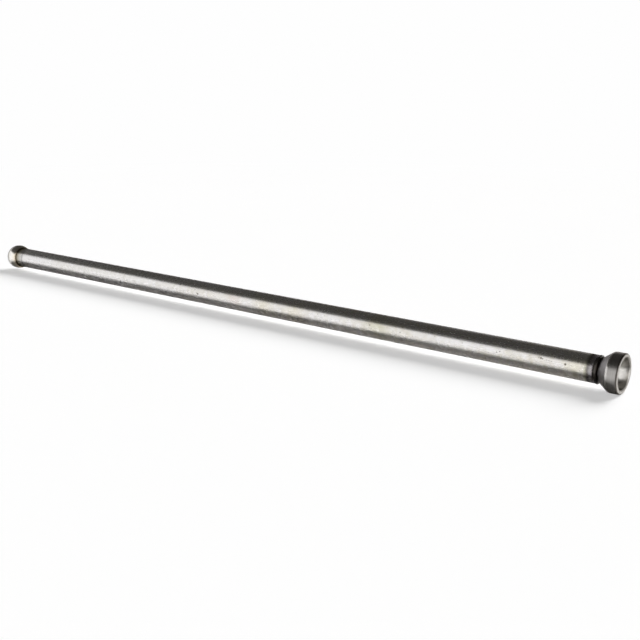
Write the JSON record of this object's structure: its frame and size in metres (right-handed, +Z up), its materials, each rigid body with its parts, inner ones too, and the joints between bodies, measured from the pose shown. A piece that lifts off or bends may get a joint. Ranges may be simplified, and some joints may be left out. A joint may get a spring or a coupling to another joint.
{
  "type": "engine pushrod",
  "caption": "Slim hollow steel rod with a ball end and a flared cup end, which carries the lift of a cam follower to a rocker arm.",
  "frame": {"origin": "on the surface under the rod, halfway between the ball's crown and the cup's rim, straight below the axis", "axes": "+X along the rod from the ball to the cup, +Z up, with the rod lying level"},
  "size_m": [0.3824, 0.016, 0.016],
  "materials": {
    "tube_steel": "drawn and lightly polished, with fine scratches, specks and heat tint at the ends",
    "ball_steel": "ground bright, with straw and brown heat tint at the joint",
    "cup_steel": "fine turned, with a bright rim",
    "weld_scale": "dark oxide scale"
  },
  "bodies": {
    "root": {"tube": "tube_steel", "ball_end": "ball_steel", "cup_end": "cup_steel", "weld_ring": "weld_scale"}
  },
  "joints": []
}
